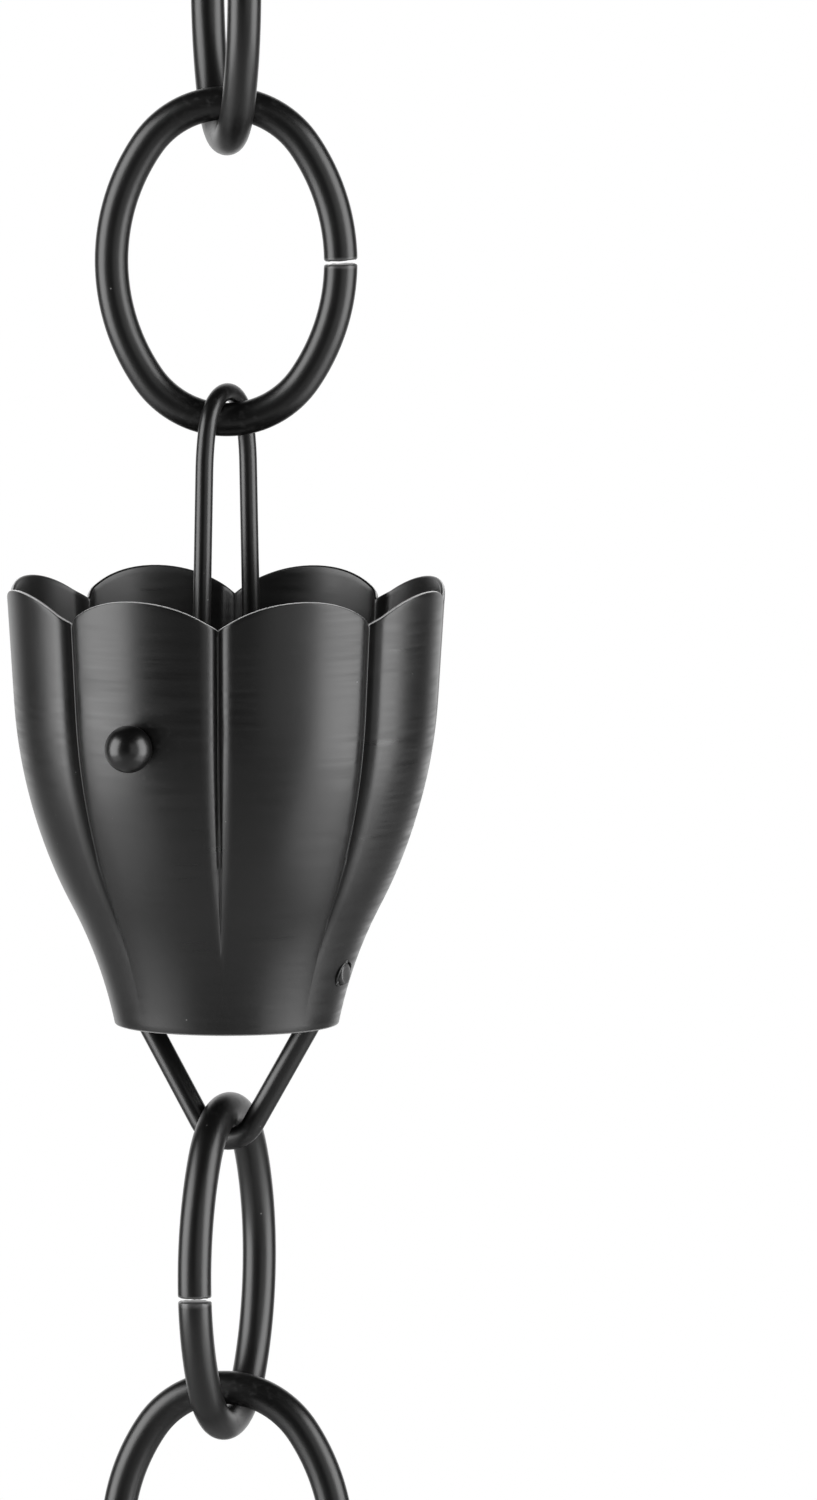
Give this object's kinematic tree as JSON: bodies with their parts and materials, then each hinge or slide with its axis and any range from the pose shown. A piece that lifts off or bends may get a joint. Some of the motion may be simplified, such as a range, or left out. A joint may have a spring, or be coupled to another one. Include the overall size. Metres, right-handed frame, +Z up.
{
  "type": "rain chain",
  "caption": "Rain chain of open oval wire links and tulip cups with petal rims, hung loop on loop below a gutter outlet to lead roof water down.",
  "frame": {"origin": "hang point: where a hook bears on the inside of the top link", "axes": "+Z up along the hanging chain, +X to the viewer's right, +Y away from the viewer"},
  "size_m": [0.0906, 0.0828, 0.7243],
  "materials": {
    "link_coat": "satin",
    "cup_coat": "satin",
    "hanger_coat": "satin",
    "knob_coat": "satin",
    "tie_coat": "satin"
  },
  "bodies": {
    "link_1": {"link_1": "link_coat"},
    "link_2": {"link_2": "link_coat"},
    "upper_hanger": {"upper_hanger": "hanger_coat", "upper_knob_left": "knob_coat", "upper_knob_right": "knob_coat"},
    "upper_cup": {"upper_cup": "cup_coat"},
    "upper_tie": {"upper_tie": "tie_coat"},
    "link_3": {"link_3": "link_coat"},
    "link_4": {"link_4": "link_coat"},
    "link_5": {"link_5": "link_coat"},
    "link_6": {"link_6": "link_coat"},
    "link_7": {"link_7": "link_coat"},
    "lower_hanger": {"lower_hanger": "hanger_coat", "lower_knob_front": "knob_coat", "lower_knob_back": "knob_coat"},
    "lower_cup": {"lower_cup": "cup_coat"},
    "lower_tie": {"lower_tie": "tie_coat"},
    "link_8": {"link_8": "link_coat"},
    "link_9": {"link_9": "link_coat"}
  },
  "joints": [
    {"name": "link_2_swing", "type": "hinge", "parent": "link_1", "child": "link_2", "pos_m": [0, 0, -0.0535], "axis": [0.5592, 0.829, 0], "range_deg": [-90, 90]},
    {"name": "upper_hanger_swing", "type": "hinge", "parent": "link_2", "child": "upper_hanger", "pos_m": [0, 0, -0.1037], "axis": [0.4695, -0.8829, 0], "range_deg": [-90, 90]},
    {"name": "upper_cup_swing", "type": "hinge", "parent": "upper_hanger", "child": "upper_cup", "pos_m": [0, 0, -0.159], "axis": [-0.9968, -0.0802, 0], "range_deg": [-50, 50]},
    {"name": "upper_tie_swing", "type": "hinge", "parent": "upper_cup", "child": "upper_tie", "pos_m": [0, 0, -0.202], "axis": [0.0802, -0.9968, 0], "range_deg": [-45, 45]},
    {"name": "link_3_swing", "type": "hinge", "parent": "upper_tie", "child": "link_3", "pos_m": [0, 0, -0.2328], "axis": [-0.0802, 0.9968, 0], "range_deg": [-70, 70]},
    {"name": "link_4_swing", "type": "hinge", "parent": "link_3", "child": "link_4", "pos_m": [0, 0, -0.284], "axis": [-0.9848, -0.1736, 0], "range_deg": [-90, 90]},
    {"name": "link_5_swing", "type": "hinge", "parent": "link_4", "child": "link_5", "pos_m": [0, 0, -0.3342], "axis": [0.2419, -0.9703, 0], "range_deg": [-90, 90]},
    {"name": "link_6_swing", "type": "hinge", "parent": "link_5", "child": "link_6", "pos_m": [0, 0, -0.3844], "axis": [0.8746, 0.4848, 0], "range_deg": [-90, 90]},
    {"name": "link_7_swing", "type": "hinge", "parent": "link_6", "child": "link_7", "pos_m": [0, 0, -0.4346], "axis": [-0.1513, 0.9885, 0], "range_deg": [-90, 90]},
    {"name": "lower_hanger_swing", "type": "hinge", "parent": "link_7", "child": "lower_hanger", "pos_m": [0, 0, -0.4848], "axis": [0.9945, -0.1045, 0], "range_deg": [-90, 90]},
    {"name": "lower_cup_swing", "type": "hinge", "parent": "lower_hanger", "child": "lower_cup", "pos_m": [0, 0, -0.5401], "axis": [0.4289, 0.9033, 0], "range_deg": [-50, 50]},
    {"name": "lower_tie_swing", "type": "hinge", "parent": "lower_cup", "child": "lower_tie", "pos_m": [0, 0, -0.5831], "axis": [0.9033, -0.4289, 0], "range_deg": [-45, 45]},
    {"name": "link_8_swing", "type": "hinge", "parent": "lower_tie", "child": "link_8", "pos_m": [0, 0, -0.6139], "axis": [-0.9033, 0.4289, 0], "range_deg": [-70, 70]},
    {"name": "link_9_swing", "type": "hinge", "parent": "link_8", "child": "link_9", "pos_m": [0, 0, -0.6651], "axis": [-0.2924, -0.9563, 0], "range_deg": [-90, 90]}
  ]
}
